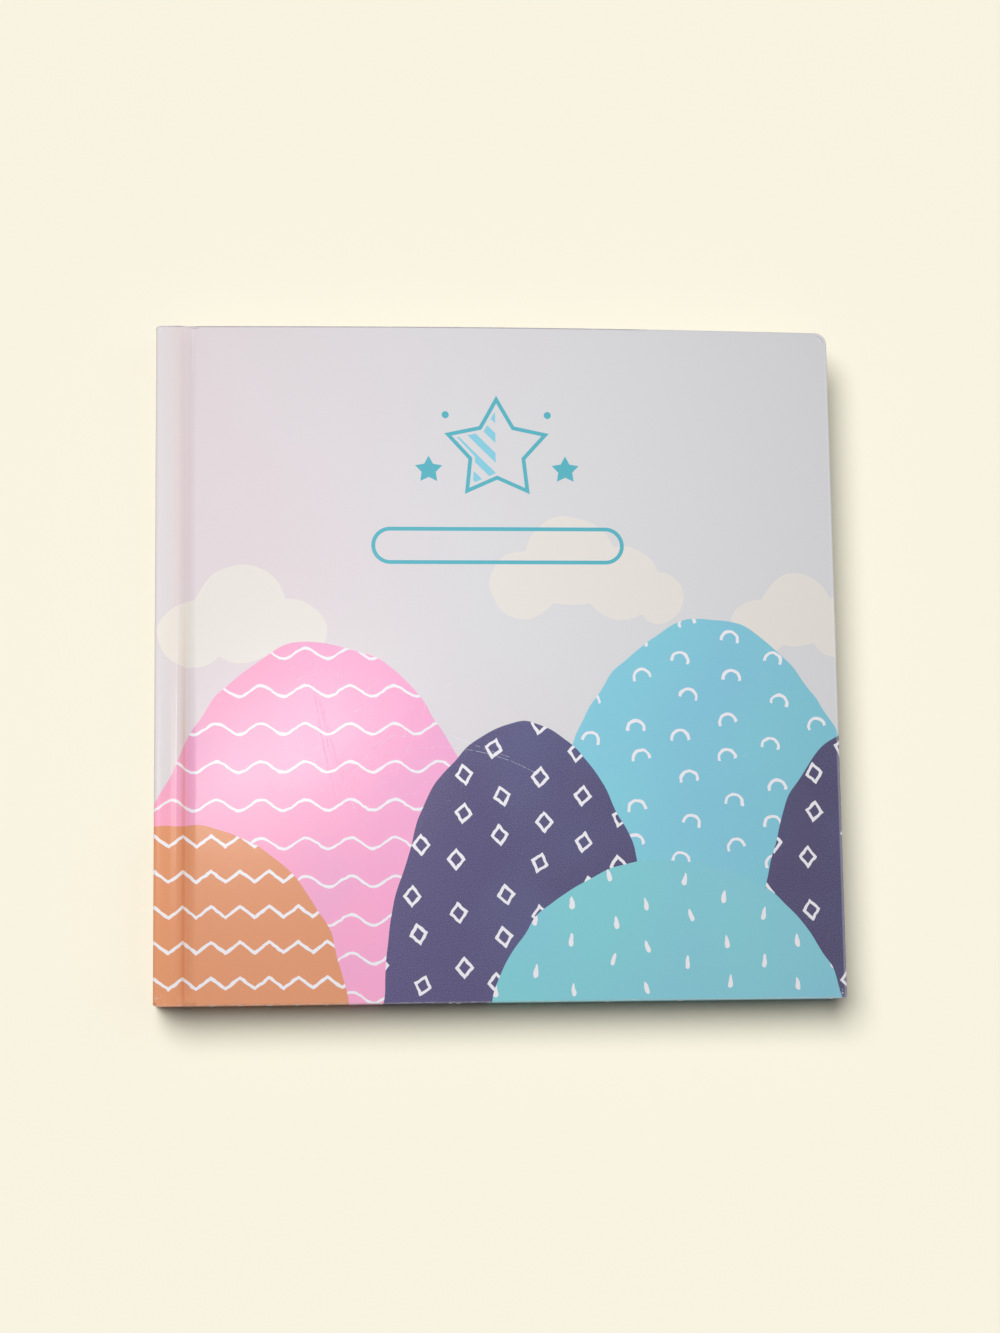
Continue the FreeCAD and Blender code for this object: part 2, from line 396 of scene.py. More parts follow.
def scattered(s, across, up, pitchX, pitchY, seed):
    # loose hand-placed marks: a place in the mark's own tilted frame
    column = (across / pitchX).math("FLOOR")
    shifted = up + column.math("PINGPONG", 1.0) * (pitchY / 2)
    row = (shifted / pitchY).math("FLOOR")
    dice = s.add("ShaderNodeTexWhiteNoise", None, {"Vector": s.join(column, row, seed)}).outputs["Color"]
    a, b, c = s.split(dice)
    x = (across - pitchX / 2).cell(pitchX) + (a - 0.5) * (pitchX * 0.3)
    y = (shifted - pitchY / 2).cell(pitchY) + (b - 0.5) * (pitchY * 0.3)
    tilt = (c - 0.5) * 0.7
    return x + y * tilt, y - x * tilt


def archMarks(s, across, up):
    x, y = scattered(s, across, up, 14.5, 13.0, 1.0)
    ring = abs(s.length(x, y) - 2.7) - coverPrint["mark"] / 2
    return ring.atLeast(-0.6 - y)


def waveMarks(s, across, up):
    wavy = up + (across * 0.45).math("SINE") * 1.7
    return wavy.rows(12.0) - coverPrint["mark"] / 2


def diamondMarks(s, across, up):
    x, y = scattered(s, across, up, 13.0, 15.0, 2.0)
    return abs(abs(x) * 1.2 + abs(y) - 2.9) * 0.66 - coverPrint["mark"] / 2


def zigzagMarks(s, across, up):
    wavy = up + across.rows(9.0) * 0.75 + 3.5
    return wavy.rows(11.0) * 0.8 - coverPrint["mark"] / 2


def dropMarks(s, across, up):
    x, y = scattered(s, across, up, 12.0, 14.0, 3.0)
    return s.length(x * (1.0 + (y + 2.2).atLeast(0.0) * 0.42), y * 0.62) - 1.3


marks = {"arches": archMarks, "waves": waveMarks, "diamonds": diamondMarks,
         "zigzags": zigzagMarks, "drops": dropMarks}


def starDistance(s, x, y, outer, inner):
    radius = s.length(x, y)
    fifth = math.tau / 5
    turn = abs(x.math("ARCTAN2", y).cell(fifth))
    lean = math.atan2(outer - inner * math.cos(fifth / 2), inner * math.sin(fifth / 2))
    return radius * (turn - lean).math("COSINE") - outer * math.cos(lean)


def emblemOutline(s, across, up):
    # a large star with two small ones, over an empty plate for a name
    half = coverPrint["line"] / 2
    star = starDistance(s, across, up - 68.0, 16.5, 9.0)
    small = starDistance(s, abs(across) - 22.0, up - 61.5, 4.6, 2.4)
    dots = s.length(abs(across) - 16.5, up - 79.5) - 1.15
    reach = (abs(across) - 34.5).atLeast(0.0)
    plate = abs(s.length(reach, up - 36.8) - 5.4) - half
    return (abs(star) - half).atMost(small).atMost(dots).atMost(plate), star


def handDrawn(s, place, scale, reach, detail):
    # a place as a slightly unsteady hand would have it
    stray = s.noise(place, scale, detail, output="Color").socket
    stray = s.vector("SUBTRACT", stray, (0.5, 0.5, 0.5))
    stray = s.vector("MULTIPLY", stray, (reach * 2, reach * 2, 0.0))
    x, y, _ = s.split(s.vector("ADD", place, stray))
    return x, y


def printedPicture(s, across, flatUp, strip):
    # sky, clouds and hills
    place = s.join(across, flatUp)
    x, y = handDrawn(s, place, coverPrint["handScale"], coverPrint["handWobble"], 1.0)
    markX, markY = handDrawn(s, place, coverPrint["markScale"], coverPrint["markWobble"], 0.0)
    fade = (across / (2 * foreFlat) + flatUp / 1400.0 + 0.5).clamped()
    stops = list(zip((0.0, 0.5, 1.0), coverPrint["sky"]))
    colour = s.add("ShaderNodeValToRGB", {"stops": stops}, {0: fade}).outputs[0]
    blush = (s.noise(place, 0.014, 4.0, 0.6) * 2.0 - 0.9 - across * 0.008).clamped()
    colour = s.mix(blush * 0.4, colour, coverPrint["skyBlush"])
    # painted light: the flat strip by the spine takes a bluer sky
    colour = s.mix(strip, colour, coverPrint["skySpine"])
    puffs = None
    for centre, height, radius in cloudPuffs:
        puff = s.length(x - centre, y - height) - radius
        puffs = puff if puffs is None else puffs.math("SMOOTH_MIN", puff, 1.5)
    colour = s.mix(s.inside(puffs), colour, coverPrint["cream"])
    drift = (s.noise(s.join(across, flatUp, 7.0), 0.022, 2.0) * 3.0 - 1.3).clamped()
    for centre, foot, halfWidth, height, tint, kind in hills:
        edge = (s.length((x - centre) / halfWidth, (y - foot) / height) - 1.0) * halfWidth
        shade = ((across - centre) / (2 * halfWidth) + 0.5).clamped()
        body = s.mix(shade, *coverPrint[tint])
        body = s.mix(drift * coverPrint["drift"][tint], body, coverPrint["driftColour"])
        body = s.mix(s.inside(marks[kind](s, markX - centre, markY - foot)), body, coverPrint["white"])
        colour = s.mix(s.inside(edge), colour, body)
    return colour


def printedEmblem(s, colour, flatAcross, flatUp):
    outline, star = emblemOutline(s, flatAcross, flatUp)
    stripes = ((flatAcross + flatUp) * math.sqrt(0.5)).rows(4.6) - 1.15
    striped = stripes.atLeast(star + 1.5).atLeast(flatAcross + 0.4)     # only the star's left half
    colour = s.mix(s.inside(striped), colour, coverPrint["paleTeal"])
    return s.mix(s.inside(outline), colour, coverPrint["teal"])


def paintedFoldShading(s, colour, across, flatUp, strip, groove):
    # painted shade and light: the grooves, and their sharp side towards the tail, are painted darker as
    # shade; the flat strip by the spine is painted lighter and its far side warmer, as light and sheen
    # (the grooves are made duller in makePrint)
    towardsHead = s.inside(headFlat - flatUp - 40.0, 70.0)
    towardsTail = s.inside(flatUp + 10.0, 60.0)
    grooveShade = groove * (1.0 - towardsHead * 0.6)
    crease = s.inside(abs(across - grooveFlat + 0.75) - 0.55, 0.8) * towardsTail
    shoulder = s.inside(abs(across - shoulderFlat) - 2.6, 3.0)
    for zone, light in ((strip, "spinePaintedLight"), (shoulder, "shoulderPaintedSheen"),
                        (grooveShade, "groovePaintedShade"), (crease, "creasePaintedShade")):
        colour = s.mix(zone, colour, s.vector("MULTIPLY", colour, coverPrint[light]))
    return colour


wearAndPaintedLight = {
    "bare": ink(244, 242, 244),         # scratched film and rubbed paper, and painted highlights
    # painted shade, along the head edge and in the head corner's crease
    "paintedShade": ink(112, 104, 124),
    "scratches": 0.4,               # how strongly each kind of wear, painted shade and painted highlight shows
    "rubbing": 0.5,
    "cracks": 0.7,
    "foreLine": 0.22,
    "tailLine": 0.5,
    "paleCrease": 0.8,
    "darkCrease": 0.6,
    "ridgeHighlight": 0.35,
    "headLine": 0.75,
    "roughening": 0.25,
    "depth": 0.02 * mm,             # of the scratches, cracks and creases
    "patch": (-42.0, -22.0, 26.0),  # the most scratched place: across, up and radius in mm
    "hairlines": ((1.36, 0.75), (0.42, 0.55)),      # which ways the fine scratches run, and how close
}
# long scratches: the centre and radius of the arc each follows, and the heights it runs between, in mm
arcScratches = [
    (180, 19, 240.4, -46, -7), (150, 30, 211.0, -47, -15), (176, 24, 236.0, -30, -12),
    (-150, 60, 140.6, -36, -19), (-20, -90, 62.0, -36, -27), (60, 150, 190.0, -31, -24),
]


def strongest(masks):
    most = None
    for kind, mask in masks.items():
        shown = mask * wearAndPaintedLight[kind]
        most = shown if most is None else most.atLeast(shown)
    return most


def hairlines(s, place, turn, spacing):
    # long fine scratches in one direction
    x, y, _ = s.split(place)
    along = x * math.cos(turn) + y * math.sin(turn)
    acrossIt = y * math.cos(turn) - x * math.sin(turn)
    field = s.noise(s.join(along * 0.011, acrossIt * spacing, turn), 1.0, detail=0.0)
    return s.inside(abs(field - 0.5) - 0.0016, 0.0022)


def arcDistance(s, x, y):
    nearest = None
    for centreX, centreY, radius, low, high in arcScratches:
        arc = abs(s.length(x - centreX, y - centreY) - radius)
        arc = arc.atLeast(abs(y - (low + high) / 2) - (high - low) / 2)
        nearest = arc if nearest is None else nearest.atMost(arc)
    return nearest


def scratchedFilm(s, place, flatAcross, flatUp):
    # fine scratches, thickest over one patch, and a few long broken ones on the front
    patchX, patchY, radius = wearAndPaintedLight["patch"]
    patch = s.inside(s.length(flatAcross - patchX, flatUp - patchY) - radius, 30.0)
    everywhere = (s.noise(place, 0.016, 1.0) - 0.52).math("MULTIPLY", 3.0, clamp=True)
    oneWay, otherWay = [hairlines(s, place, turn, spacing) for turn, spacing in wearAndPaintedLight["hairlines"]]
    fine = oneWay.atLeast(otherWay) * patch.atLeast(everywhere * 0.45)
    broken = (s.noise(place, 0.9, 2.0) * 4.0 - 1.4).clamped()
    onFront = s.inside(coverStartFlat - flatAcross, 0.1)
    return fine.atLeast(s.inside(arcDistance(s, flatAcross, flatUp) - 0.1, 0.22) * broken * onFront)


# rubbing, cracks and edge lines, with painted shade and painted highlights along the edges and at the
# head corner
def edgeWearAndPaintedLight(s, place, flatAcross, flatUp, across, groove):
    # distances past the edges of the covers, minus inside
    pastFore, pastHead, pastEnds = across - foreFlat, flatUp - headFlat, abs(flatUp) - headFlat
    rim = pastEnds.atLeast(pastFore)
    rub = s.noise(place, 0.35, 3.0, 0.7)
    rubbing = s.inside(abs(rim + 0.1) - 0.55 * rub, 0.35) * (rub - 0.3).math("MULTIPLY", 1.6, clamp=True)
    # pale lines along the fore edge and, growing towards it, the tail edge: partly rubbed paper and
    # partly painted highlight on their rounding
    foreLine = s.inside(abs(pastFore + 0.5) - 0.35, 0.5)
    tailLine = s.inside(abs(flatUp + headFlat - 0.25) - 0.12, 0.25) * (flatAcross / 90.0).clamped()
    # painted highlight on the groove's edge over the head turn-in
    ridgeHighlight = s.inside((abs(across - ridgeHighlightFlat) - 0.1).atLeast(-pastHead - 15.0), 0.25)
    # painted shade: a grey line along the front's head edge, where its fold turns from the light, uneven
    # and missing over the groove
    headLine = s.inside(abs(pastHead + 0.24) - 0.2, 0.3) * s.inside(abs(flatAcross + 29.5) - 76.5, 8.0)
    headLine = headLine * (1.0 - groove) * (0.5 + s.noise(place, 0.045, 1.0))
    # the front's head corner is creased round its bend
    inset = sheet["knockedCorner"] / mm
    pastFront = flatAcross - foreFlat
    fromBend = s.length(pastFront + inset, pastHead + inset) + rub * 0.5 - inset
    atCorner = s.inside(-4.4 - pastFront - pastHead, 1.6)
    # painted shade in the crease's hollow, with its real dent as a bump, and a pale arc on its lip,
    # partly whitened film and partly painted highlight
    darkCrease = s.inside(abs(fromBend + 0.8) - 0.1, 0.3) * atCorner
    paleCrease = s.inside(abs(fromBend + 0.3) - 0.15, 0.3) * atCorner
    # fine cracks in the film where the spine's ends and the covers' corners were knocked
    fromSpineEnd = s.length(abs(flatAcross - middleFlat) - (top / mm / 2 + 1.6), rim + 1.2)
    fromForeEnd = s.length(pastFore + 1.2, pastEnds + 1.2)
    knocked = s.inside(fromSpineEnd.atMost(fromForeEnd) - 2.2, 2.2)
    cracks = s.inside(abs(s.noise(place, 0.55, 1.0) - 0.5) - 0.008, 0.02) * knocked
    pale = {"rubbing": rubbing, "cracks": cracks, "foreLine": foreLine, "tailLine": tailLine,
            "paleCrease": paleCrease, "ridgeHighlight": ridgeHighlight}
    return pale, {"headLine": headLine, "darkCrease": darkCrease}


def makePrint():
    s = Surface("printedLaminate")
    place = s.flatPlace()
    flatAcross, flatUp, _ = s.split(place)
    # the picture runs on over the spine and is repeated in reverse on the back
    across = abs(flatAcross - middleFlat) + middleFlat
    # the flat strip by the spine, where the colours are painted lighter as light
    strip = s.inside(across - riseFlat, 4.0)
    # the grooves, painted darker as shade and made duller
    groove = s.inside(abs(across - grooveFlat + 0.2) - 1.15, 1.6)
    colour = printedPicture(s, across, flatUp, strip)
    colour = printedEmblem(s, colour, flatAcross, flatUp)
    colour = paintedFoldShading(s, colour, across, flatUp, strip, groove)

    scratches = scratchedFilm(s, place, flatAcross, flatUp)
    pale, paintedShade = edgeWearAndPaintedLight(s, place, flatAcross, flatUp, across, groove)
    paleWearAndHighlights = strongest({"scratches": scratches, **pale})
    # painted shade first, then pale wear and painted highlights
    colour = s.mix(strongest(paintedShade), colour, wearAndPaintedLight["paintedShade"])
    colour = s.mix(paleWearAndHighlights, colour, wearAndPaintedLight["bare"])

    film = s.noise(place, 1.6, 2.0)
    grain = s.noise(place, 3.4, 1.0, 0.7)
    cloudy = s.noise(place, 0.05, 2.0)
    colour = s.mix((grain - 0.42).math("MULTIPLY", 0.3, clamp=True), colour, coverPrint["filmVeil"])
    roughness = coverPrint["roughness"] + (scratches + paleWearAndHighlights) * wearAndPaintedLight["roughening"]
    roughness = roughness + cloudy * 0.05 + groove * 0.2
    normal = s.bump((film + grain) * 0.5, coverPrint["filmHeight"])
    normal = s.bump(-scratches - paintedShade["darkCrease"] - pale["cracks"], wearAndPaintedLight["depth"], under=normal)
    return s.finished(colour, roughness, normal)


linings = {
    "endpaper": {"pale": ink(247, 243, 235), "dark": ink(236, 231, 221),
                 "fibres": 2.2, "tooth": 0.03 * mm, "roughness": 0.74},
    "kraft": {"pale": ink(196, 160, 116), "dark": ink(170, 132, 90),
              "fibres": 1.4, "tooth": 0.05 * mm, "roughness": 0.8},
    "leaf": (ink(226, 220, 208), ink(248, 245, 238)),
    "greyboard": (ink(126, 119, 108), ink(184, 176, 162)),
    "greyboardLayers": ink(150, 143, 131),
    "gauze": (ink(214, 206, 190), ink(244, 240, 230)),      # the gaps and the threads
    "gauzeSlubs": ink(226, 219, 204),
    "gauzePitch": 1.1,              # mm from thread to thread
    "band": (ink(240, 236, 228), ink(98, 182, 196)),
    "bandFuzz": ink(206, 206, 204),
    "bandPitch": 2.2,               # mm from one blue thread to the next
}


def makePaper(name, place="body"):
    # uncoated: cloudy formation, short fibres and a dull surface
    s = Surface(name)
    kind = linings[name]
    where = s.flatPlace() if place == "flat" else s.bodyPlace()
    cloudy = s.noise(where, 0.25, 4.0, 0.6)
    fibres = s.noise(s.vector("MULTIPLY", where, (1.0, 0.35, 1.0)), kind["fibres"], 3.0, 0.7)
    base = s.mix((cloudy * 0.6 + fibres * 0.7 - 0.25).clamped(), kind["dark"], kind["pale"])
    return s.finished(base, kind["roughness"] + fibres * 0.08, s.bump(fibres, kind["tooth"]))


def makeLeafEdges():
    s = Surface("leafPaper")
    place = s.bodyPlace()
    cloudy = s.noise(place, 0.12, 3.0)
    cut = s.noise(s.vector("MULTIPLY", place, (0.12, 0.12, 9.0)), 1.0, 3.0, 0.6)
    base = s.mix((cut * 0.8 + cloudy * 0.4 - 0.1).clamped(), *linings["leaf"])
    return s.finished(base, 0.78 + cut * 0.1, s.bump(cut, 0.03 * mm))


def makeGreyboard():
    s = Surface("greyboard")
    place = s.bodyPlace()
    flecks = s.noise(place, 1.4, 5.0, 0.75)
    layers = s.noise(s.vector("MULTIPLY", place, (0.3, 0.3, 5.0)), 1.0, 3.0)
    base = s.mix((flecks * 1.5 - 0.3).clamped(), *linings["greyboard"])
    base = s.mix(layers * 0.3, base, linings["greyboardLayers"])
    return s.finished(base, 0.9, s.bump(flecks, 0.06 * mm))


def makeGauze():
    # open plain weave stiffened with glue
    s = Surface("gauze")
    x, y, _ = s.split(s.flatPlace())
    warp = x.rows(linings["gauzePitch"]) - 0.2
    weft = y.rows(linings["gauzePitch"]) - 0.2
    thread = s.inside(warp.atMost(weft), 0.12)
    slubs = s.noise(s.join(x, y), 1.2, 3.0)
    base = s.mix(thread, *linings["gauze"])
    base = s.mix(slubs * 0.3, base, linings["gauzeSlubs"])
    return s.finished(base, 0.88, s.bump(thread + slubs * 0.3, 0.1 * mm))


def makeBandCloth():
    # two colours of thread that slant round the bead
    s = Surface("bandCloth")
    x, y, z = s.split(s.bodyPlace())
    slant = z + x * 0.35 + abs(y) * 0.35
    second = s.inside(abs(slant.cell(linings["bandPitch"])) - linings["bandPitch"] / 4, 0.1)
    threads = slant.rows(linings["bandPitch"] / 4) * 3.6
    fuzz = s.noise(s.join(x, y, z), 3.0, 3.0)
    base = s.mix(second, *linings["band"])
    base = s.mix(fuzz * 0.25, base, linings["bandFuzz"])
    return s.finished(base, 0.82, s.bump(threads + fuzz * 0.3, 0.12 * mm))


printFinish = makePrint()
endpaperFinish = makePaper("endpaper", place="flat")
leafFinish = makeLeafEdges()
boardFinish = makeGreyboard()
kraftFinish = makePaper("kraft")
gauzeFinish = makeGauze()
bandFinish = makeBandCloth()
print("finishes made")


def linked(name, data):
    thing = bpy.data.objects.new(name, data)
    bpy.context.scene.collection.objects.link(thing)
    return thing


def placed(mesh, name, finish):
    # a finished mesh as a piece of the scene
    data = bpy.data.meshes.new(name)
    mesh.to_mesh(data)
    mesh.free()
    data.materials.append(finish)
    return linked(name, data)


def turnedOver(z, side):
    # heights are worked out for the front; the back mirrors them
    return z if side == "front" else top - z


class Skin:
    # quads gathered into one mesh, each corner with its place on the flat sheet
    def __init__(self):
        self.mesh = bmesh.new()
        self.flat = self.mesh.loops.layers.uv.new("flat")
        self.known = {}

    def vertex(self, point):
        key = tuple(round(c, 7) for c in point)
        if key not in self.known:
            self.known[key] = self.mesh.verts.new(point)
        return self.known[key]

    def grid(self, rows):
        # rows of (point, flat place); corners that fall together are joined
        for near, far in zip(rows, rows[1:]):
            for j in range(len(near) - 1):
                corners = []
                for point, flat in (near[j], far[j], far[j + 1], near[j + 1]):
                    v = self.vertex(point)
                    if all(v is not known for known, _ in corners):
                        corners.append((v, flat))
                if len(corners) > 2 and not self.mesh.faces.get([v for v, _ in corners]):
                    face = self.mesh.faces.new([v for v, _ in corners])
                    face.smooth = True
                    for loop, (_, flat) in zip(face.loops, corners):
                        loop[self.flat].uv = (flat[0] / flatUnit, flat[1] / flatUnit)

    def made(self, name, finish, gauge, offset=-1.0, flipped=False):
        # thickened to a closed sheet whose cut edges stay crisp
        if flipped:
            bmesh.ops.reverse_faces(self.mesh, faces=self.mesh.faces)
        piece = placed(self.mesh, name, finish)
        thin = piece.data
        solid = piece.modifiers.new("gauge", "SOLIDIFY")
        solid.thickness = gauge
        solid.offset = offset
        depsgraph = bpy.context.evaluated_depsgraph_get()
        piece.data = bpy.data.meshes.new_from_object(piece.evaluated_get(depsgraph))
        piece.data.name = name + "Sheet"
        piece.data.set_sharp_from_angle(angle=math.radians(50))
        piece.modifiers.clear()
        bpy.data.meshes.remove(thin)
        return piece


def rimFold(depth, rim=sheet["rimRound"]):
    # over an edge: distance in from it, depth below the outside, and distance along the flat sheet
    r = min(rim, depth / 2)
    fold = [(inset, 0.0, -inset) for inset in steps(sheet["rimBand"], 3.6 * mm, 5)]
    fold += [(inset * mm, 0.0, -inset * mm) for inset in (2.6, 1.9, 1.4, 1.0, 0.75)]
    for turn in steps(0, math.pi / 2, 5):
        fold.append((r - r * math.sin(turn), r - r * math.cos(turn), r * turn - r))
    along = r * math.pi / 2 - r
    for deep in steps(r, depth - r, 3)[1:]:
        fold.append((0.0, deep, along + deep - r))
    along += depth - 2 * r
    for turn in steps(0, math.pi / 2, 5)[1:]:
        fold.append((r - r * math.cos(turn), depth - r + r * math.sin(turn), along + r * turn))
    along += r * math.pi / 2
    for inset in (1.2 * mm, 2.4 * mm, 4 * mm, 7 * mm, 11 * mm, sheet["turnIn"]):
        fold.append((inset, depth, along + inset - r))
    return fold


def coverWays(headRound, tailRound):
    # places along a cover's three free edges: each gives x, y and the way out at a distance in
    def side(along, end, radius):
        def place(d):
            reach = foreX - max(radius, d) - coverStartX
            return (coverStartX + reach * along, end * (headY - d), 0.0, end)
        return place

    def corner(turn, end, radius):
        outX, outY = math.cos(turn), end * math.sin(turn)

        def place(d):
            reach = max(radius - d, 0.0)
            inset = max(radius, d)
            return (foreX - inset + outX * reach, end * (headY - inset) + outY * reach, outX, outY)
        return place

    def foreEdge(along):
        def place(d):
            high, low = headY - max(headRound, d), max(tailRound, d) - headY
            return (foreX - d, high + (low - high) * along, 1.0, 0.0)
        return place

    across = steps(0, 1, sheet["acrossCount"])
    ways = [side(a, 1, headRound) for a in across]
    ways += [corner(turn, 1, headRound) for turn in steps(math.pi / 2, 0, 10)[1:-1]]
    ways += [foreEdge(a) for a in steps(0, 1, sheet["upCount"])]
    ways += [corner(turn, -1, tailRound) for turn in steps(0, math.pi / 2, 10)[1:-1]]
    ways += [side(a, -1, tailRound) for a in reversed(across)]
    return ways


def settled(x, y, z, side):
    # the sheet as it really lies: uneven, its head edge swollen and its head corner knocked down
    onCover = eased((x - coverStartX) / sheet["rippleFrom"])
    if z > top - sheet["rimRound"] * 2 or z < sheet["rimRound"] * 2:
        seed = 3.1 if side == "front" else 7.7
        lift = sheet["ripple"] * rippled(x, y, seed, sheet["rippleSize"]) * onCover
        z += lift if z > top / 2 else -lift
    r = sheet["spineCorner"]
    over = abs(y) - headY + r
    if over > 0 and x < spineX + 3 * r:
        inset = r - math.sqrt(max(r * r - over * over, 0.0))
        x += inset * (1 - (x - spineX) / (3 * r))
    if side == "front":
        reach = math.hypot(foreX - x, headY - y)
        z -= sheet["knockedDown"] * (1 - eased(reach / sheet["knockedReach"]))
        swell = math.sin(math.pi * min(max((x - spineX) / (foreX - spineX), 0), 1) ** 1.1)
        y += sheet["headBow"] * swell * eased(1 - (headY - y) / sheet["headBowReach"])
    return (x, y, z)


def blendOver(piece):
    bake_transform(piece)


def makeHalfSheet(side):
    # the covering paper from the middle of the spine round one board, turned in on three sides
    skin = Skin()

    def flatOn(x, y):
        return (x if side == "front" else 2 * spineMiddle - x, y)

    ups = steps(sheet["rimBand"] - headY, headY - sheet["rimBand"], sheet["upCount"])
    rows = []
    for (outer, inner), length in zip(wrapPath, pathLengths):
        depth = math.dist(outer, inner)
        way = ((inner[0] - outer[0]) / depth, (inner[1] - outer[1]) / depth)
        fold = rimFold(depth, sheet["spineEndRound"])
        flatAcross = spineMiddle + length
        hollow = (top - outer[1]) * sheet["grooveEnd"] if outer[0] > shoulderX else 0.0

        def hem(inset, deep, end):
            x, z = outer[0] + way[0] * deep, outer[1] + way[1] * deep
            z += hollow * (1 - deep / depth) * eased((6 * mm - inset) / (5 * mm))
            return settled(x, end * (headY - inset), turnedOver(z, side), side)

        def place(y):
            return settled(outer[0], y, turnedOver(outer[1], side), side)

        middle = [(place(y), flatOn(flatAcross, y)) for y in ups[1:-1]]
        head = [(hem(inset, deep, 1), flatOn(flatAcross, headY + along)) for inset, deep, along in fold]
        tail = [(hem(inset, deep, -1), flatOn(flatAcross, -headY - along)) for inset, deep, along in fold]
        rows.append(tail[::-1] + middle + head)
    skin.grid(rows)

    fold = rimFold(top - coverLow.z)
    rows = []
    headRound = sheet["knockedCorner"] if side == "front" else sheet["cornerRound"]
    for way in coverWays(headRound, sheet["cornerRound"]):
        row = []
        for inset, deep, along in fold:
            x, y, _, _ = way(inset)
            baseX, baseY, outX, outY = way(max(-along, 0.0))
            over = max(along, 0.0)
            row.append((settled(x, y, turnedOver(top - deep, side), side),
                        flatOn(baseX + outX * over, baseY + outY * over)))
        rows.append(row)
    skin.grid(rows)

    acrosses = steps(coverStartX, foreX - sheet["rimBand"], sheet["acrossCount"])
    level = turnedOver(top, side)
    skin.grid([[(settled(x, y, level, side), flatOn(x, y)) for y in ups] for x in acrosses])
    half = skin.made(side + "CoverSheet", printFinish, gauge=paper, flipped=side == "back")
    blendOver(half)
    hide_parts(side + "_wrap", "spine_wrap")


for side in ("front", "back"):
    makeHalfSheet(side)
print("cover sheet made")

endpapers = {
    "gauge": 0.2 * mm,
    "panSlope": 1.0 * mm,           # over which a pastedown steps down past the turned-in paper
    "panEdge": 0.2 * mm,            # and how far from that paper's edge it starts
    "count": 46,
    "foldX": leavesLow.x + 0.225 * mm,
}


def lined(start, end, count, *closer):
    # even lines with extra ones where the sheet steps
    lines = set(steps(start, end, count))
    for low, high in closer:
        lines |= set(steps(low, high, 5))
    kept = []
    for place in sorted(lines):
        if not kept or place - kept[-1] > 0.02 * mm:
            kept.append(place)
    return kept


def makePastedown(side):
    # glued inside a cover, over the turn-ins, and carried on into the groove as a strip
    skin = Skin()
    slope = endpapers["panSlope"]
    clear = endpapers["panEdge"]
    left, right = flapHigh.x + clear, foreX - sheet["turnIn"] - clear
    panY = headY - sheet["turnIn"] - clear
    halfY = pastedownHigh.y
    xs = steps(endpapers["foldX"], creaseX + foldReach, 24)[:-1]
    xs += lined(creaseX + foldReach, pastedownHigh.x, endpapers["count"],
                (left, left + slope), (right - slope, right))
    ys = lined(-halfY, halfY, endpapers["count"], (-panY, slope - panY), (panY - slope, panY))
    under = pastedownLow.z + endpapers["gauge"] / 2
    rows = []
    for x in xs:
        row = []
        for y in ys:
            inside = min(x - left, right - x, panY - abs(y))
            z = under + eased(inside / slope) * paper
            row.append(((x, y, turnedOver(z, side)), (x, y)))
        rows.append(row)
    skin.grid(rows)
    piece = skin.made(side + "Pastedown", endpaperFinish, gauge=endpapers["gauge"], offset=0.0)
    blendOver(piece)
    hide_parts(side + "_pastedown")


def makeFlyleaf(side):
    # the free leaf and its fold at the gutter, where the pastedown's strip takes over
    skin = Skin()
    low = leavesHigh.z + endpapers["gauge"] / 2
    high = pastedownLow.z + endpapers["gauge"] / 2
    r = (high - low) / 2
    path = [(x, low) for x in steps(leavesHigh.x, endpapers["foldX"], endpapers["count"])]
    for turn in steps(1.5 * math.pi, 0.5 * math.pi, 8)[1:]:
        path.append((endpapers["foldX"] + r * math.cos(turn), low + r + r * math.sin(turn)))
    ys = steps(-leavesHigh.y, leavesHigh.y, endpapers["count"])
    skin.grid([[((x, y, turnedOver(z, side)), (x, y)) for y in ys] for x, z in path])
    piece = skin.made(side + "Flyleaf", endpaperFinish, gauge=endpapers["gauge"], offset=0.0)
    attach(piece, "book_block")
    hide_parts(side + "_flyleaf")


for side in ("front", "back"):
    makePastedown(side)
    makeFlyleaf(side)
print("endpapers made")


def makeGauzeHalf(side):
    # from the middle of the leaves' spine, over the shoulder and on to the board
    skin = Skin()
    gauge = flapHigh.z - flapLow.z
    x0, z = gauzeLow.x + gauge / 2, gauzeHigh.z - gauge / 2
    r = 0.3 * mm
    path = [(x0, height) for height in steps(top / 2, z - r, 6)]
    for turn in steps(math.pi, math.pi / 2, 5)[1:]:
        path.append((x0 + r + r * math.cos(turn), z - r + r * math.sin(turn)))
    path += [(x, z) for x in steps(path[-1][0], creaseX + foldReach, 20)[1:]]
    path += [(x, z) for x in steps(path[-1][0], flapHigh.x, 12)[1:]]
    lengths = lengthsAlong(path)
    ys = steps(-flapHigh.y, flapHigh.y, 24)
    skin.grid([[((x, y, turnedOver(height, side)), (length, y)) for y in ys]
               for (x, height), length in zip(path, lengths)])
    piece = skin.made(side + "Gauze", gauzeFinish, gauge=gauge * 0.9, offset=0.0)
    blendOver(piece)
    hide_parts(side + "_mull_flap", "spine_mull")


for side in ("front", "back"):
    makeGauzeHalf(side)
print("gauze made")

leaves = {
    "count": 48,
    "gap": 0.035 * mm,
    "trimError": 0.10 * mm,         # a leaf's edge may stand this far in from the trimmed face
    "wave": 0.012 * mm,             # how far a leaf's edge strays up or down
    "waveSize": 40 * mm,
    "sideCount": 26,
    "seed": 4,
}


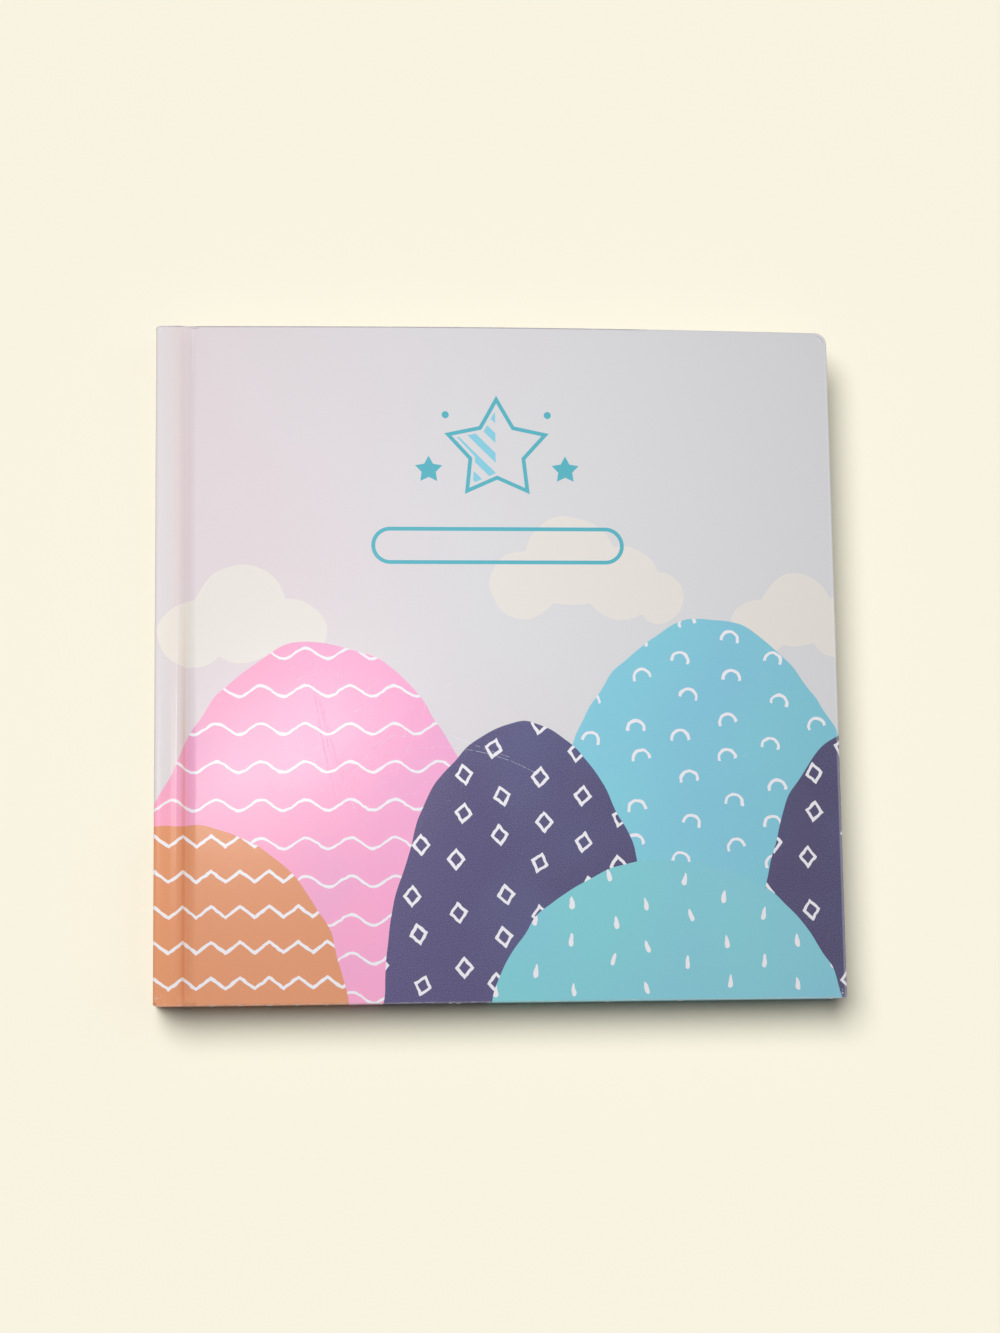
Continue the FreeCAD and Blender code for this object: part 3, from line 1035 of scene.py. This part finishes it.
def makeLeaves():
    # separate leaves, pressed together and trimmed square, so that their edges show as fine lines
    dice = random.Random(leaves["seed"])
    mesh = bmesh.new()
    x0, x1, halfY = leavesLow.x, leavesHigh.x, leavesHigh.y
    pitch = (leavesHigh.z - leavesLow.z) / leaves["count"]
    for leaf in range(leaves["count"]):
        short = [dice.uniform(0.1, 1.0) * leaves["trimError"] for edge in range(3)]
        fore, tail, head = x1 - short[0], short[1] - halfY, halfY - short[2]
        outline = [(x, tail) for x in steps(x0, fore, leaves["sideCount"])[:-1]]
        outline += [(fore, y) for y in steps(tail, head, leaves["sideCount"])[:-1]]
        outline += [(x, head) for x in steps(fore, x0, leaves["sideCount"])]
        outline.append((x0, (head + tail) / 2))
        low = leavesLow.z + leaf * pitch
        rings = []
        for height in (low + leaves["gap"] / 2, low + pitch - leaves["gap"] / 2):
            ring = []
            for x, y in outline:
                wave = leaves["wave"] * rippled(x, y, leaf * 1.7, leaves["waveSize"])
                ring.append(mesh.verts.new((x, y, height + wave)))
            rings.append(ring)
        for i in range(len(outline)):
            following = (i + 1) % len(outline)
            mesh.faces.new((rings[0][i], rings[0][following], rings[1][following], rings[1][i]))
        mesh.faces.new(list(reversed(rings[0])))
        mesh.faces.new(rings[1])
    piece = placed(mesh, "leaves", leafFinish)
    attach(piece, "book_block")
    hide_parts("page_block")


makeLeaves()
print("leaves made")

band = {
    "bead": 1.5 * mm,
    "stitches": 10,                 # ridges along a bead
    "ridge": 0.06 * mm,
    "endPinch": 0.5,                # a bead's ends are drawn in by this share
    "aroundCount": 28,
    "stitchCount": 8,               # rings for each stitch
    "tabCount": 20,
    "fray": 0.25 * mm,
}


def makeBand(name, end):
    # a corded bead on the edge of the leaves, with its cloth tab down their spine
    low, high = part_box(name)
    tall = high.z - low.z
    mesh = bmesh.new()
    r = band["bead"] / 2
    beadY = max(abs(low.y), abs(high.y)) - r
    rings = []
    for t in steps(0, 1, band["stitches"] * band["stitchCount"]):
        pinch = 1 - band["endPinch"] * (2 * abs(t - 0.5)) ** 14
        ring = []
        for k in range(band["aroundCount"]):
            turn = math.tau * k / band["aroundCount"]
            stitch = abs(math.sin(math.pi * band["stitches"] * t + turn / 2))
            radius = (r - band["ridge"] * (1 - stitch)) * pinch
            x, y = low.x + r + radius * math.cos(turn), beadY + radius * math.sin(turn)
            ring.append(mesh.verts.new((x, end * y, low.z + tall * t)))
        rings.append(ring)
    for near, far in zip(rings, rings[1:]):
        for k in range(band["aroundCount"]):
            following = (k + 1) % band["aroundCount"]
            mesh.faces.new((near[k], near[following], far[following], far[k])).smooth = True
    mesh.faces.new(rings[0])
    mesh.faces.new(rings[-1])
    # the tab, closed and slightly frayed along its lower edge
    last = band["tabCount"]
    tabEdge = min(abs(low.y), abs(high.y))
    layers = []
    for x in (low.x + 0.02 * mm, leavesLow.x):
        layer = []
        for z in steps(low.z, high.z, last):
            frayed = tabEdge + band["fray"] * rippled(z, end * 0.1, 5.5, 2.2 * mm)
            ys = (frayed, (tabEdge + beadY) / 2, beadY)
            layer.append([mesh.verts.new((x, end * y, z)) for y in ys])
        layers.append(layer)
        for near, far in zip(layer, layer[1:]):
            for j in range(2):
                mesh.faces.new((near[j], far[j], far[j + 1], near[j + 1]))
    rimWay = [(i, 0) for i in range(last + 1)] + [(last, 1)]
    rimWay += [(i, 2) for i in range(last, -1, -1)] + [(0, 1)]
    for (i, j), (p, q) in zip(rimWay, rimWay[1:] + rimWay[:1]):
        mesh.faces.new((layers[0][i][j], layers[0][p][q], layers[1][p][q], layers[1][i][j]))
    bmesh.ops.recalc_face_normals(mesh, faces=mesh.faces)
    piece = placed(mesh, name.split("_")[0] + "Band", bandFinish)
    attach(piece, "book_block")
    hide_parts(name)


makeBand("head_band", 1)
makeBand("tail_band", -1)
print("bands made")

# the boards' and the lining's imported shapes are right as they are
cadFinishes = {
    "front_board": boardFinish,
    "back_board": boardFinish,
    "spine_board": boardFinish,
    "spine_lining": kraftFinish,
}
for name, finish in cadFinishes.items():
    for slot in frame["nodes"][name].material_slots:
        slot.material = finish
print("boards and lining finished")

studio = {
    "backdrop": ink(249, 244, 225),
    "floorColour": ink(182, 178.5, 164.5),  # a mid tone, as the suns over it are strong
    "floorBounce": ink(160, 158, 150),      # the floor as the book's sides are lit by it
    "floorSize": 8.0,
    "worldLevel": 0.09,
    # suns: what each gives on a level surface, 1 being full white, its lean in degrees towards the
    # fore edge and the head, and its width; two are the floor's own, and throw the soft shadow
    "key": {"level": 0.345, "lean": (4.0, 0.0), "angle": 170.0},
    "floorKey": {"level": 1.81, "lean": (-19.0, 21.5), "angle": 42.0},
    "floorFill": {"level": 0.11, "lean": (38.0, 15.0), "angle": 50.0},
    # lamps for the book alone
    "side": {"place": (-0.075, 0.05, 0.38), "power": 0.86, "size": (0.24, 0.24),
             "tint": (0.95, 0.98, 1.0)},
    "sheen": {"place": (-0.062, 0.086, 1.076), "power": 0.37, "size": (0.14, 0.02),
              "tint": (1.0, 0.91, 0.86)},
    "cameraOffset": (-75.5 * mm, -119.27 * mm, 813.85 * mm),    # from the middle of the front cover
    "cameraTurn": (8.221, -5.193, -0.784),
    "lens": 70.22,
}


def seenDirectly(s):
    rays = s.add("ShaderNodeLightPath").outputs
    seen = Value(s, rays["Is Camera Ray"]).atLeast(Value(s, rays["Is Glossy Ray"]))
    return seen.atLeast(Value(s, rays["Is Transmission Ray"]))


def makeFloor():
    s = Surface("floor")
    colour = s.mix(seenDirectly(s), studio["floorBounce"], studio["floorColour"])
    s.finished(colour, 1.0, specular=0.0)
    half = studio["floorSize"] / 2
    low = cadLow.z - 0.05 * mm
    data = bpy.data.meshes.new("floor")
    data.from_pydata([(-half, -half, low), (half, -half, low), (half, half, low), (-half, half, low)],
                     [], [(0, 1, 2, 3)])
    data.materials.append(s.material)
    floor = linked("floor", data)
    return floor


def makeWorld():
    world = bpy.data.worlds.new("studio")
    bpy.context.scene.world = world
    s = Surface(world)
    light = s.add("ShaderNodeBackground", None, {"Color": (1, 1, 1, 1), "Strength": studio["worldLevel"]})
    backdrop = s.add("ShaderNodeBackground", None, {"Color": studio["backdrop"]})
    shaders = {0: seenDirectly(s), 1: light.outputs[0], 2: backdrop.outputs[0]}
    s.add("ShaderNodeOutputWorld", None, {0: s.add("ShaderNodeMixShader", None, shaders).outputs[0]})


def makeLamp(name, kind, place, power, size, tint=(1.0, 1.0, 1.0)):
    lamp = bpy.data.lights.new(name, kind)
    lamp.energy = power
    lamp.color = tint
    if kind == "AREA":
        lamp.shape = "RECTANGLE"
        lamp.size, lamp.size_y = size
    else:
        lamp.angle = math.radians(size)
    holder = linked(name, lamp)
    holder.location = place
    holder.rotation_euler = Vector(place).to_track_quat("Z", "Y").to_euler()
    return holder


def makeLights(floor):
    suns = []
    for name in ("key", "floorKey", "floorFill"):
        sun = studio[name]
        way = Vector([math.tan(math.radians(a)) for a in sun["lean"]] + [1.0])
        suns.append(makeLamp(name, "SUN", way, sun["level"] * math.pi * way.length, sun["angle"]))
    key = suns[0]
    side, sheen = [makeLamp(name, "AREA", **studio[name]) for name in ("side", "sheen")]
    key.visible_glossy = False          # the broad lamps leave the sheen to the small one
    side.visible_glossy = False
    for name, state, lamps in (("floorOnly", "INCLUDE", suns[1:]),
                               ("allButFloor", "EXCLUDE", [key, side, sheen])):
        receivers = bpy.data.collections.new(name)
        receivers.objects.link(floor)
        receivers.collection_objects[0].light_linking.link_state = state
        for lamp in lamps:
            lamp.light_linking.receiver_collection = receivers


def makeCamera():
    lens = bpy.data.cameras.new("camera")
    lens.lens = studio["lens"]
    lens.clip_start = 0.01
    camera = linked("camera", lens)
    camera.location = Vector((0, 0, top)) + Vector(studio["cameraOffset"])
    camera.rotation_euler = [math.radians(a) for a in studio["cameraTurn"]]
    bpy.context.scene.camera = camera


makeWorld()
makeLights(makeFloor())
makeCamera()
bpy.context.scene.view_settings.view_transform = "Standard"
print("studio made")
